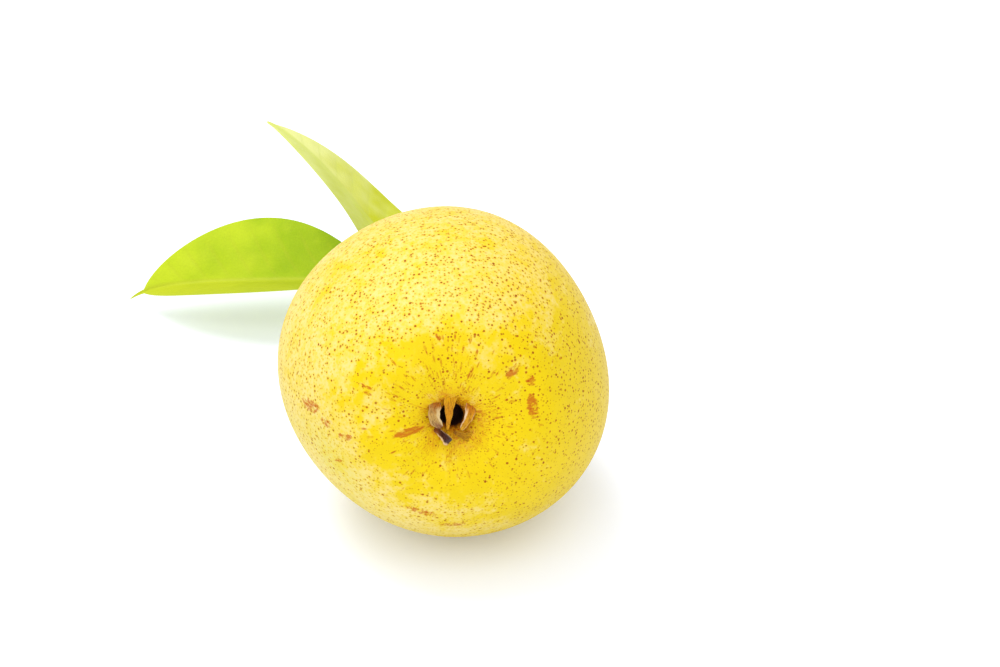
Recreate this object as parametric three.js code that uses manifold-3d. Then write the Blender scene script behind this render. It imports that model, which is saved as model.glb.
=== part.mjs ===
// A ripe yellow pear lying on its side, with its woody stem, the spur stub at the stem's end,
// two green leaves that grow from that spur, and the five dried sepals in the calyx basin.
// Millimetres, +Z up. The origin is the centre of the flat that the pear rests on; the calyx
// end looks towards -Y and a little upwards, and the stem points towards +Y.

import * as THREE from 'three';
import Module from 'manifold-3d';

// ---------------------------------------------------------------- driving dimensions

const TILT = THREE.MathUtils.degToRad( 12.2 ); // the calyx end is raised by this much
const PEAR_CENTRE = new THREE.Vector3( - 2.5, 1.1, 35.5 ); // middle of the belly above the resting flat
const BELLY_RADIUS = 37.5;

// Meridian of the flesh as [ distance along the axis towards the calyx, radius ]: the control
// points of a uniform cubic B-spline, from the floor of the calyx tube to the stem cavity.
const MERIDIAN = [
	[ 35.0, 0 ], [ 35.0, 1.7 ], [ 36.3, 2.3 ], [ 39.2, 2.4 ], [ 41.0, 4.2 ], [ 42.7, 8.2 ],
	[ 44.0, 14.6 ], [ 41.0, 21.8 ], [ 33.8, 28.9 ], [ 20.8, 35.6 ], [ 5.5, 38.15 ], [ - 10.5, 35.6 ],
	[ - 26.2, 28.9 ], [ - 39.8, 19.5 ], [ - 47.4, 12.6 ], [ - 50.8, 7.0 ], [ - 50.6, 3.6 ],
	[ - 47.6, 2.9 ], [ - 44.6, 2.6 ], [ - 44.2, 0 ],
];
const CALYX_SPANS = 10; // spans of the meridian on the calyx half
const RINGS_PER_SPAN = 2;
const BODY_SIDES = 60;

// Slow swellings of the girth: [ lobes, share of the radius, angle of the first crest in degrees ].
// They fade out towards the axis with this power of the radius.
const SWELLINGS = [ [ 2, 0.032, - 40 ], [ 3, 0.0145, 67 ], [ 4, 0.0085, - 18 ] ];
const SWELLING_POWER = 1.2;
// Five soft ribs round the calyx basin, and one firmer shoulder on its upper right.
const RIBS = { count: 5, height: 0.45, radius: 15, spread: 6, crest: 58 };
const SHOULDER = { height: 1.1, radius: 22.5, spread: 4.5, crest: 52 };

// The calyx tube sits above the axis by this much; the shift fades out over these radii.
const TUBE_SHIFT = { rise: 0.4, from: 3, to: 8 };

// Ground that the flesh is pressed flat against: a block this wide and deep, its top at z = 0.
const GROUND = { width: 200, depth: 20 };

// Stem and spur. Their surfaces are knobbly: lobes round each circle, which drift from one
// circle to the next, and whose height is a share of the radius.
const STEM_PATH = [ [ 0, - 45.2 ], [ 0.5, - 60 ], [ - 1.0, - 75 ], [ 0.6, - 87.1 ] ]; // [ x, along the axis ]
const STEM_RADII = [ 1.7, 1.75, 1.5, 1.45, 1.5, 1.75, 2.3 ];
const SPUR_FOOT = new THREE.Vector3( - 1.0, 93.6, 6.5 );
const SPUR_TOP = new THREE.Vector3( - 2.6, 88.6, 24.0 );
const SPUR_BEND = new THREE.Vector3( 0.2, 0.2, 0 ); // how far its middle stands off the straight line
const SPUR_RADII = [ 1.9, 3.0, 2.7, 3.2, 2.9, 3.3, 2.8, 2.3, 1.2 ];

const KNOBS = { lobes: 3, drift: 1.7, stem: 0.03, spur: 0.06 };
const STEM_MESH = { sides: 10, steps: 14 };
const SPUR_MESH = { sides: 12, steps: 16 };

// Leaves. Each path starts on the spur; `across` is the direction that the blade is wide in.
const LEAF_THICKNESS = 0.55;
const LEAF_LOW = {
	path: [ [ - 5.7, 90.9, 14.6 ], [ - 25.9, 90.7, 8.3 ], [ - 72.9, 99.6, 13.1 ], [ - 84.6, 102.3, 2.4 ] ],
	across: [ - 0.49, 0.43, 0.07 ], halfWidth: 17.9, fold: 35, petiole: 13, point: 0.068, tail: 0.093, fullness: 0.85, skew: 0.87,
};
const LEAF_HIGH = {
	path: [ [ - 5.3, 89.8, 20.2 ], [ - 19.6, 96.5, 17.1 ], [ - 22.2, 106.7, 35.9 ], [ - 45.5, 114.6, 48.6 ] ],
	across: [ 0.08, 0.91, - 0.05 ], halfWidth: 17.9, fold: 9, petiole: 3, point: 0.02, tail: 0.07, fullness: 0.9, skew: 0.57,
};
const PETIOLE_RADIUS = 0.95;
const MIDRIB = { spread: 1.3, taper: 0.75 }; // half width, and the share of its height lost by the tip
const LEAF_POINT = { reach: 3, power: 0.7, start: 0.5 }; // shape of the drawn-out point
const LEAF_END = { start: 0.9, halfWidth: 0.12 }; // smallest half width over the last part
const LEAF_MESH = { sides: 16, steps: 34 };

// Dried sepals, each along a path of [ right, up, along the axis ] measured from the pear's
// centre: the foot on the wall of the basin, the bend, and the tip over the calyx tube.
const SEPALS = [
	{ name: 'sepal_1', path: [ [ - 0.3, 4.6, 41.0 ], [ - 0.7, 2.0, 43.4 ], [ - 1.0, - 1.8, 42.1 ] ], widths: [ 1.9, 0.85, 0.35 ], turn: 0 },
	{ name: 'sepal_2', path: [ [ 4.1, 2.5, 41.4 ], [ 3.6, 0.9, 43.6 ], [ 1.9, - 1.9, 42.2 ] ], widths: [ 1.4, 0.95, 0.45 ], turn: 10 },
	{ name: 'sepal_3', path: [ [ - 3.6, 3.3, 41.5 ], [ - 4.7, 1.4, 44.0 ], [ - 2.4, - 1.2, 42.5 ] ], widths: [ 1.1, 1.35, 0.6 ], turn: - 10 },
	{ name: 'sepal_4', path: [ [ - 3.2, - 2.1, 41.2 ], [ - 1.9, - 2.3, 43.3 ], [ - 0.9, - 4.6, 42.9 ] ], widths: [ 0.7, 0.95, 1.25 ], turn: 20 },
	{ name: 'sepal_5', path: [ [ 3.4, - 3.7, 41.4 ], [ 2.0, - 3.2, 42.8 ], [ 0.4, - 2.4, 41.9 ] ], widths: [ 1.2, 0.8, 0.4 ], turn: - 10 },
];
const SEPAL_THICKNESS = 0.5;
const SEPAL_FOLD = THREE.MathUtils.degToRad( 18 );
const SEPAL_MESH = { sides: 10, steps: 8 };

// ---------------------------------------------------------------- finishes

const finish = ( color, roughness ) => new THREE.MeshStandardMaterial( { color, roughness, metalness: 0 } );
const SKIN = finish( '#f2d93a', 0.5 );
const BARK = finish( '#6b4a2b', 0.85 );
const LEAF = finish( '#b4d233', 0.45 );
const DRY_CALYX = finish( '#9a6a2c', 0.8 );

// ---------------------------------------------------------------- frames and curves

const TO_CALYX = new THREE.Vector3( 0, - Math.cos( TILT ), Math.sin( TILT ) );
const RIGHT = new THREE.Vector3( 1, 0, 0 );
const UP = new THREE.Vector3( 0, Math.sin( TILT ), Math.cos( TILT ) );

// A point given across, up and along the pear's own axis.
function onPear( right, up, along ) {

	return PEAR_CENTRE.clone().addScaledVector( RIGHT, right ).addScaledVector( UP, up ).addScaledVector( TO_CALYX, along );

}

// Uniform cubic B-spline through the meridian, mirrored at both poles so that it meets the axis squarely.
function meridianPoints() {

	const last = MERIDIAN.length - 1;
	const mirror = ( [ along, radius ] ) => [ along, - radius ];
	const control = [ mirror( MERIDIAN[ 1 ] ), ...MERIDIAN, mirror( MERIDIAN[ last - 1 ] ) ];
	const points = [];

	for ( let i = 0; i <= last * RINGS_PER_SPAN; i ++ ) {

		const span = Math.min( Math.floor( i / RINGS_PER_SPAN ), last - 1 );
		const t = i / RINGS_PER_SPAN - span;
		const weights = [ ( 1 - t ) ** 3, 3 * t ** 3 - 6 * t ** 2 + 4, - 3 * t ** 3 + 3 * t ** 2 + 3 * t + 1, t ** 3 ];
		const blend = ( axis ) => weights.reduce( ( sum, w, k ) => sum + w * control[ span + k ][ axis ] / 6, 0 );
		points.push( { along: blend( 0 ), radius: Math.max( blend( 1 ), 0 ), calyxHalf: i / RINGS_PER_SPAN < CALYX_SPANS } );

	}

	return points;

}

// Smooth path through hand-set points.
const pathThrough = ( points ) => new THREE.CatmullRomCurve3( points, false, 'centripetal' );

const bezier = ( points ) => new THREE.CubicBezierCurve3( ...points.map( ( p ) => new THREE.Vector3( ...p ) ) );

// Value of an evenly spaced list at a share of its length.
function sample( list, share ) {

	const place = share * ( list.length - 1 );
	const i = Math.min( Math.floor( place ), list.length - 2 );
	return THREE.MathUtils.lerp( list[ i ], list[ i + 1 ], place - i );

}

// ---------------------------------------------------------------- solids

// Closed solid through a list of loops with the same number of points; both ends are closed by a fan.
function loft( loops ) {

	const sides = loops[ 0 ].length;
	const positions = loops.flat();
	const index = [];

	for ( let j = 0; j < loops.length - 1; j ++ ) {

		for ( let i = 0; i < sides; i ++ ) {

			const a = j * sides + i;
			const b = j * sides + ( i + 1 ) % sides;
			index.push( a, b, b + sides, a, b + sides, a + sides );

		}

	}

	const middle = ( loop ) => loop.reduce( ( sum, p ) => sum.add( p ), new THREE.Vector3() ).divideScalar( sides );
	const first = positions.push( middle( loops[ 0 ] ) ) - 1;
	const last = positions.push( middle( loops.at( - 1 ) ) ) - 1;
	const top = ( loops.length - 1 ) * sides;

	for ( let i = 0; i < sides; i ++ ) {

		const next = ( i + 1 ) % sides;
		index.push( first, next, i, last, top + i, top + next );

	}

	const geometry = new THREE.BufferGeometry().setFromPoints( positions );
	geometry.setIndex( index );
	return facingOut( geometry );

}

// Signed volume of a closed mesh, used to turn its faces outwards.
function facingOut( geometry ) {

	const { array } = geometry.index;
	const point = ( i ) => new THREE.Vector3().fromBufferAttribute( geometry.attributes.position, array[ i ] );
	let volume = 0;

	for ( let i = 0; i < array.length; i += 3 ) {

		volume += point( i ).dot( point( i + 1 ).cross( point( i + 2 ) ) );

	}

	if ( volume < 0 ) {

		for ( let i = 0; i < array.length; i += 3 ) [ array[ i ], array[ i + 1 ] ] = [ array[ i + 1 ], array[ i ] ];

	}

	return geometry;

}

// Knobbly twig: circles of changing radius square to the path.
function twig( curve, radii, { sides, steps }, knobbly ) {

	const frames = curve.computeFrenetFrames( steps );
	const loops = [];

	for ( let j = 0; j <= steps; j ++ ) {

		const centre = curve.getPointAt( j / steps );
		const radius = sample( radii, j / steps );
		const loop = [];

		for ( let i = 0; i < sides; i ++ ) {

			const angle = i / sides * 2 * Math.PI;
			const reach = radius * ( 1 + knobbly * Math.sin( KNOBS.lobes * angle + KNOBS.drift * j ) );
			loop.push( centre.clone()
				.addScaledVector( frames.normals[ j ], reach * Math.cos( angle ) )
				.addScaledVector( frames.binormals[ j ], reach * Math.sin( angle ) ) );

		}

		loops.push( loop );

	}

	return loft( loops );

}

// Thin blade along a path: its section is a lens, `halfWidth` to each side and folded up along the middle.
function blade( curve, { across, halfWidth, halfThickness, fold, steps, sides } ) {

	const loops = [];

	for ( let j = 0; j <= steps; j ++ ) {

		const share = j / steps;
		const tangent = curve.getTangentAt( share );
		const sideways = across( share ).addScaledVector( tangent, - across( share ).dot( tangent ) ).normalize();
		const upwards = sideways.clone().cross( tangent );
		const loop = [];

		for ( let i = 0; i < sides; i ++ ) {

			const angle = i / sides * 2 * Math.PI;
			const reach = - Math.cos( angle );
			const lift = Math.abs( reach ) * Math.sin( fold ) * halfWidth( share )
				+ Math.sin( angle ) * halfThickness( share, reach );
			loop.push( curve.getPointAt( share )
				.addScaledVector( sideways, reach * Math.cos( fold ) * halfWidth( share ) )
				.addScaledVector( upwards, lift ) );

		}

		loops.push( loop );

	}

	return loft( loops );

}

// ---------------------------------------------------------------- the flesh

// Raising of the calyx end: the soft ribs round the basin and the firmer shoulder.
function calyxRelief( radius, angle ) {

	const bell = ( { radius: middle, spread } ) => Math.exp( - ( ( ( radius - middle ) / spread ) ** 2 ) );
	const crest = ( { crest: degrees } ) => angle - THREE.MathUtils.degToRad( degrees );
	const rib = RIBS.height * bell( RIBS ) * Math.cos( RIBS.count * crest( RIBS ) );
	const shoulder = SHOULDER.height * bell( SHOULDER ) * Math.max( Math.cos( crest( SHOULDER ) ), 0 ) ** 2;
	return rib + shoulder;

}

function fleshPoint( { along, radius, calyxHalf }, angle ) {

	const grown = Math.min( radius / BELLY_RADIUS, 1 ) ** SWELLING_POWER;
	const swelling = SWELLINGS.reduce(
		( sum, [ lobes, share, crest ] ) => sum + share * Math.cos( lobes * ( angle - THREE.MathUtils.degToRad( crest ) ) ), 0 );
	const reach = radius * ( 1 + grown * swelling );
	const lift = calyxHalf ? calyxRelief( radius, angle ) : 0;
	const shift = calyxHalf ? TUBE_SHIFT.rise * ( 1 - THREE.MathUtils.smoothstep( radius, TUBE_SHIFT.from, TUBE_SHIFT.to ) ) : 0;
	return onPear( reach * Math.cos( angle ), reach * Math.sin( angle ) + shift, along + lift );

}

function flesh() {

	const rings = meridianPoints();
	const loops = rings.slice( 1, - 1 ).map( ( ring ) =>
		Array.from( { length: BODY_SIDES }, ( _, i ) => fleshPoint( ring, i / BODY_SIDES * 2 * Math.PI ) ) );
	return loft( loops );

}

// Cuts the part of a solid that lies below the ground plane away, which leaves the resting flat.
async function pressedFlat( geometry ) {

	const wasm = await Module();
	wasm.setup();
	const solid = ( source ) => new wasm.Manifold( new wasm.Mesh( {
		numProp: 3, vertProperties: source.attributes.position.array, triVerts: Uint32Array.from( source.index.array ),
	} ) );
	const ground = facingOut( mergedBox( GROUND.width, GROUND.width, GROUND.depth ).translate( 0, 0, - GROUND.depth / 2 ) );
	const { vertProperties, triVerts } = solid( geometry ).subtract( solid( ground ) ).getMesh();
	const cut = new THREE.BufferGeometry();
	cut.setAttribute( 'position', new THREE.BufferAttribute( vertProperties, 3 ) );
	cut.setIndex( new THREE.BufferAttribute( triVerts, 1 ) );
	return cut;

}

// Box whose faces share their corners.
function mergedBox( width, depth, height ) {

	const corners = [];
	for ( const z of [ - height / 2, height / 2 ] ) {

		corners.push( [ [ - 1, - 1 ], [ 1, - 1 ], [ 1, 1 ], [ - 1, 1 ] ].map( ( [ x, y ] ) =>
			new THREE.Vector3( x * width / 2, y * depth / 2, z ) ) );

	}

	return loft( corners );

}

// ---------------------------------------------------------------- stem, spur, leaves, sepals

function stem() {

	const path = pathThrough( STEM_PATH.map( ( [ right, along ] ) => onPear( right, 0, along ) ) );
	return twig( path, STEM_RADII, STEM_MESH, KNOBS.stem );

}

function spur() {

	const middle = SPUR_FOOT.clone().lerp( SPUR_TOP, 0.5 ).add( SPUR_BEND );
	return twig( pathThrough( [ SPUR_FOOT, middle, SPUR_TOP ] ), SPUR_RADII, SPUR_MESH, KNOBS.spur );

}

// Half-width of a leaf: a round petiole, then an oval blade that ends in a drawn-out point.
function leafHalfWidth( leaf, share, length ) {

	const place = ( share * length - leaf.petiole ) / ( length - leaf.petiole );
	if ( place <= 0 ) return PETIOLE_RADIUS;
	const oval = Math.sin( Math.PI * Math.min( place / ( 1 - leaf.point ), 1 ) ** leaf.skew ) ** leaf.fullness;
	const point = leaf.tail * Math.min( ( 1 - place ) / ( LEAF_POINT.reach * leaf.point ), 1 ) ** LEAF_POINT.power;
	const smallest = place > LEAF_END.start ? LEAF_END.halfWidth : PETIOLE_RADIUS;
	return Math.max( leaf.halfWidth * Math.max( oval || 0, place > LEAF_POINT.start ? point : 0 ), smallest );

}

function leaf( shape ) {

	const path = bezier( shape.path );
	const length = path.getLength();
	const halfWidth = ( share ) => leafHalfWidth( shape, share, length );

	return blade( path, {
		across: () => new THREE.Vector3( ...shape.across ),
		halfWidth,
		fold: THREE.MathUtils.degToRad( shape.fold ),
		halfThickness: ( share, reach ) => {

			const distance = reach * halfWidth( share );
			const midrib = PETIOLE_RADIUS * ( 1 - MIDRIB.taper * share ) * Math.exp( - ( ( distance / MIDRIB.spread ) ** 2 ) );
			return Math.min( Math.max( LEAF_THICKNESS / 2, midrib ), halfWidth( share ) );

		},
		...LEAF_MESH,
	} );

}

function sepal( { path, widths, turn } ) {

	const curve = new THREE.QuadraticBezierCurve3( ...path.map( ( p ) => onPear( ...p ) ) );
	const [ foot, , tip ] = path;
	const lean = Math.atan2( foot[ 1 ] - tip[ 1 ], foot[ 0 ] - tip[ 0 ] ) + Math.PI / 2 + THREE.MathUtils.degToRad( turn );

	return blade( curve, {
		across: () => RIGHT.clone().multiplyScalar( Math.cos( lean ) ).addScaledVector( UP, Math.sin( lean ) ),
		halfWidth: ( share ) => sample( widths, share ),
		fold: SEPAL_FOLD,
		halfThickness: () => SEPAL_THICKNESS / 2,
		...SEPAL_MESH,
	} );

}

// ---------------------------------------------------------------- the assembly

const pear = new THREE.Group();

function add( name, geometry, material ) {

	const mesh = new THREE.Mesh( geometry, material );
	mesh.name = name;
	pear.add( mesh );

}

add( 'pear_body', await pressedFlat( flesh() ), SKIN );
add( 'stem', stem(), BARK );
add( 'spur_stub', spur(), BARK );
add( 'leaf_low', leaf( LEAF_LOW ), LEAF );
add( 'leaf_high', leaf( LEAF_HIGH ), LEAF );
for ( const shape of SEPALS ) add( shape.name, sepal( shape ), DRY_CALYX );

export default pear;
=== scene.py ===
"""A ripe yellow pear on its side, with its stem, a stub of the spur, two leaves and a dried calyx.

Shapes are worked out in millimetres and become metres when their mesh is made. On the pear itself
a place is given as right, up and along, where along runs from the belly towards the calyx.
"""

import logging
import math
from collections.abc import Sequence
from dataclasses import dataclass
from enum import Enum
from typing import Any

import bpy
import numpy as np
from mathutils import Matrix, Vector


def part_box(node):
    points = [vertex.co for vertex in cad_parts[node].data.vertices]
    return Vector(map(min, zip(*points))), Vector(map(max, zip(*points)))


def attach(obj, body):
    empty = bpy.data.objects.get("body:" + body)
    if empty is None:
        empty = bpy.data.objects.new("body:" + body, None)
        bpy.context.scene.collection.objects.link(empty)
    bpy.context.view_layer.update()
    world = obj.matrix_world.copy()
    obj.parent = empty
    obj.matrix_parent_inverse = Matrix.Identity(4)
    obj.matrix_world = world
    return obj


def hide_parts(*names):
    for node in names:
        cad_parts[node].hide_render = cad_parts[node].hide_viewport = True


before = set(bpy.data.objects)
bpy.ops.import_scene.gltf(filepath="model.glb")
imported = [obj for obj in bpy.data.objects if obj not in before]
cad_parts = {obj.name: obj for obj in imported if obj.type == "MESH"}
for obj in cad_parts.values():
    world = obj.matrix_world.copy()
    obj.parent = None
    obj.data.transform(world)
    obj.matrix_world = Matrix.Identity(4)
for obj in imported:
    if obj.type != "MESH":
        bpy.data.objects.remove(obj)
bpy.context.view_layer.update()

MM = 0.001
ROOT = "root"
STUDIO_LIGHT = 1.3
FINE_STEPS = 800
SPAN_STEPS = 60
Colour = tuple[float, float, float, float]
log = logging.getLogger("pear")


class Slot(Enum):
    """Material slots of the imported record."""

    SKIN = "skin"
    BARK = "bark"
    LEAF = "leaf"
    DRY_CALYX = "dry_calyx"


def rgb(red: int, green: int, blue: int, light: float = STUDIO_LIGHT) -> Colour:
    """Linear colour that looks like an sRGB colour under a given light.

    Args:
        red: Red, from 0 to 255.
        green: Green, from 0 to 255.
        blue: Blue, from 0 to 255.
        light: Strength of the light, where 1 shows a white sheet as white.

    Returns:
        The linear colour with full alpha.
    """
    shares = [part / 255 for part in (red, green, blue)]
    linear = [c / 12.92 if c < 0.0405 else ((c + 0.055) / 1.055) ** 2.4 for c in shares]
    return (*(part / light for part in linear), 1.0)


def unit(vector: np.ndarray) -> np.ndarray:
    """Vectors of length one along the last axis."""
    return vector / np.linalg.norm(vector, axis=-1, keepdims=True)


def smooth(value: np.ndarray, low: float, high: float) -> np.ndarray:
    """Smooth step from 0 at low to 1 at high.

    Args:
        value: Values to compare.
        low: Value where the step starts.
        high: Value where the step ends, which may be below low.

    Returns:
        Numbers from 0 to 1.
    """
    t = np.clip((value - low) / (high - low), 0, 1)
    return t * t * (3 - 2 * t)


def bell(value: np.ndarray, middle: float, spread: float) -> np.ndarray:
    """Gaussian bump of height one."""
    return np.exp(-(((value - middle) / spread) ** 2))


def facing(angle: np.ndarray, clock: float) -> np.ndarray:
    """How far angles face a clock angle in degrees, from 0 to 1."""
    return np.maximum(np.cos(angle - math.radians(clock)), 0)


# ---------------------------------------------------------------- shader expressions


class Wire:
    """A node's output, on which Python's operators add Math nodes."""

    def __init__(self, recipe: "Recipe", socket: bpy.types.NodeSocket) -> None:
        """Wraps a socket of a recipe's node tree."""
        self.recipe = recipe
        self.socket = socket

    def math(self, operation: str, *values: "Wire | float") -> "Wire":
        """Adds a Math node.

        Args:
            operation: Name of the Math operation.
            values: Its values, in order.

        Returns:
            The node's output.
        """
        return self.recipe.node("ShaderNodeMath", {"operation": operation}, dict(enumerate(values)))

    def __add__(self, other: "Wire | float") -> "Wire":
        """Sum."""
        return self.math("ADD", self, other)

    def __radd__(self, other: "Wire | float") -> "Wire":
        """Sum."""
        return self.math("ADD", other, self)

    def __sub__(self, other: "Wire | float") -> "Wire":
        """Difference."""
        return self.math("SUBTRACT", self, other)

    def __rsub__(self, other: "Wire | float") -> "Wire":
        """Difference."""
        return self.math("SUBTRACT", other, self)

    def __mul__(self, other: "Wire | float") -> "Wire":
        """Product."""
        return self.math("MULTIPLY", self, other)

    def __rmul__(self, other: "Wire | float") -> "Wire":
        """Product."""
        return self.math("MULTIPLY", other, self)

    def __truediv__(self, other: "Wire | float") -> "Wire":
        """Quotient."""
        return self.math("DIVIDE", self, other)

    def __abs__(self) -> "Wire":
        """Size without sign."""
        return self.math("ABSOLUTE", self)

    def least(self, other: "Wire | float") -> "Wire":
        """The smaller of two values."""
        return self.math("MINIMUM", self, other)

    def most(self, other: "Wire | float") -> "Wire":
        """The larger of two values."""
        return self.math("MAXIMUM", self, other)

    def step(self, low: "Wire | float", high: "Wire | float") -> "Wire":
        """Smooth step from 0 at low to 1 at high.

        Args:
            low: Value where the step starts.
            high: Value where the step ends.

        Returns:
            A value from 0 to 1.
        """
        inputs = {"Value": self, "From Min": low, "From Max": high}
        return self.recipe.node("ShaderNodeMapRange", {"interpolation_type": "SMOOTHSTEP"}, inputs)

    def fall(self, low: "Wire | float", high: "Wire | float") -> "Wire":
        """Smooth step from 1 at low down to 0 at high."""
        return 1 - self.step(low, high)


class Recipe:
    """The node tree of one material."""

    def __init__(self, name: str) -> None:
        """Makes a material with a plain Principled shader."""
        self.material = bpy.data.materials.new(name)
        self.material.use_nodes = True
        self.tree = self.material.node_tree
        self.shader = self.tree.nodes["Principled BSDF"]

    def node(self, kind: str, settings: dict[str, Any], inputs: dict[Any, Any], output: Any = 0) -> Wire:
        """Adds a node.

        Args:
            kind: Type of the node.
            settings: Its own settings, which are set before its sockets.
            inputs: Values or links of its sockets, by name or number.
            output: Name or number of the output that is used.

        Returns:
            The output.
        """
        made = self.tree.nodes.new(kind)
        for key, value in settings.items():
            setattr(made, key, value)
        for key, value in inputs.items():
            self.feed(made.inputs[key], value)
        return Wire(self, made.outputs[output])

    def feed(self, socket: bpy.types.NodeSocket, value: Any) -> None:
        """Links or sets one input.

        Args:
            socket: The input.
            value: A wire to link, or a value to set.
        """
        if isinstance(value, Wire):
            self.tree.links.new(value.socket, socket)
        else:
            socket.default_value = value

    def attribute(self, name: str, output: str = "Vector") -> Wire:
        """A value kept on the mesh's points."""
        return self.node("ShaderNodeAttribute", {"attribute_name": name}, {}, output)

    def parts(self, vector: Wire) -> list[Wire]:
        """The three parts of a vector or colour.

        Args:
            vector: Vector to take apart.

        Returns:
            Its X, Y and Z.
        """
        first = self.node("ShaderNodeSeparateXYZ", {}, {"Vector": vector})
        return [Wire(self, first.socket.node.outputs[i]) for i in range(3)]

    def stretch(self, vector: Wire, size: Sequence[float]) -> Wire:
        """A vector divided part by part, so that a pattern on it has that size.

        Args:
            vector: Places, in the units of the size.
            size: Size of the pattern on each axis.

        Returns:
            The stretched places.
        """
        return self.node("ShaderNodeVectorMath", {"operation": "DIVIDE"}, {0: vector, 1: tuple(size)})

    def shift(self, vector: Wire, by: Wire | Sequence[float]) -> Wire:
        """A vector moved by another."""
        return self.node("ShaderNodeVectorMath", {"operation": "ADD"}, {0: vector, 1: by})

    def streak(self, vector: Wire, size: Sequence[float], detail: float = 2.0, rough: float = 0.5) -> Wire:
        """Noise stretched to a size on each axis."""
        return self.noise(self.stretch(vector, size), 1.0, detail, rough)

    def noise(self, vector: Wire, size: float, detail: float = 2.0, rough: float = 0.5,
              output: str = "Fac") -> Wire:
        """Soft noise.

        Args:
            vector: Places.
            size: Size of its largest lumps, in the units of the places.
            detail: How many finer layers it has.
            rough: How strong the finer layers are.
            output: "Fac" for a value, "Color" for three.

        Returns:
            The noise, around 0.5.
        """
        inputs = {"Vector": vector, "Scale": 1 / size, "Detail": detail, "Roughness": rough}
        return self.node("ShaderNodeTexNoise", {}, inputs, output)

    def cells(self, vector: Wire, size: float, output: str = "Distance", feature: str = "F1") -> Wire:
        """Cells with one point each.

        Args:
            vector: Places.
            size: Size of a cell, in the units of the places.
            output: "Distance" in sizes, or "Color" for three random values of each cell.
            feature: Which distance is measured.

        Returns:
            The chosen output.
        """
        inputs = {"Vector": vector, "Scale": 1 / size}
        return self.node("ShaderNodeTexVoronoi", {"feature": feature}, inputs, output)

    def mix(self, share: Wire | float, first: Wire | Colour, second: Wire | Colour) -> Wire:
        """Mixes two colours.

        Args:
            share: Share of the second.
            first: First colour.
            second: Second colour.

        Returns:
            The mixed colour.
        """
        return self.node("ShaderNodeMix", {"data_type": "RGBA"}, {0: share, 6: first, 7: second}, 2)

    def finish(self, colour: Wire, roughness: Wire, height: Wire, relief: float,
               **constants: float) -> bpy.types.Material:
        """Feeds the shader.

        Args:
            colour: Base colour.
            roughness: Roughness.
            height: Height of the fine relief, about 0 to 1.
            relief: What a height of 1 means, in millimetres.
            constants: Values of other shader sockets, with _ for a space in the name.

        Returns:
            The finished material.
        """
        bump = self.node("ShaderNodeBump", {}, {"Strength": 1.0, "Distance": relief * MM, "Height": height})
        self.feed(self.shader.inputs["Base Color"], colour)
        self.feed(self.shader.inputs["Roughness"], roughness)
        self.feed(self.shader.inputs["Normal"], bump)
        for name, value in constants.items():
            self.shader.inputs[name.replace("_", " ")].default_value = value
        return self.material


# ---------------------------------------------------------------- finishes


@dataclass(frozen=True)
class PoreLayer:
    """Round pores of one size: their spacing, smallest radius, spread of radii and strength."""

    spacing: float
    smallest: float
    spread: float
    strength: float


@dataclass(frozen=True)
class FleckLayer:
    """Thin flecks of one size.

    Attributes:
        turn: Width of the cell that holds one fleck, as a turn round the axis in radians.
        length: Length of that cell.
        thick: Smallest size of a fleck, as a share of its cell.
        spread: How much larger the largest are.
        near: Distance from the calyx where they start to thin out.
        far: Distance where the last ones lie.
    """

    turn: float
    length: float
    thick: float
    spread: float
    near: float
    far: float


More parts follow.
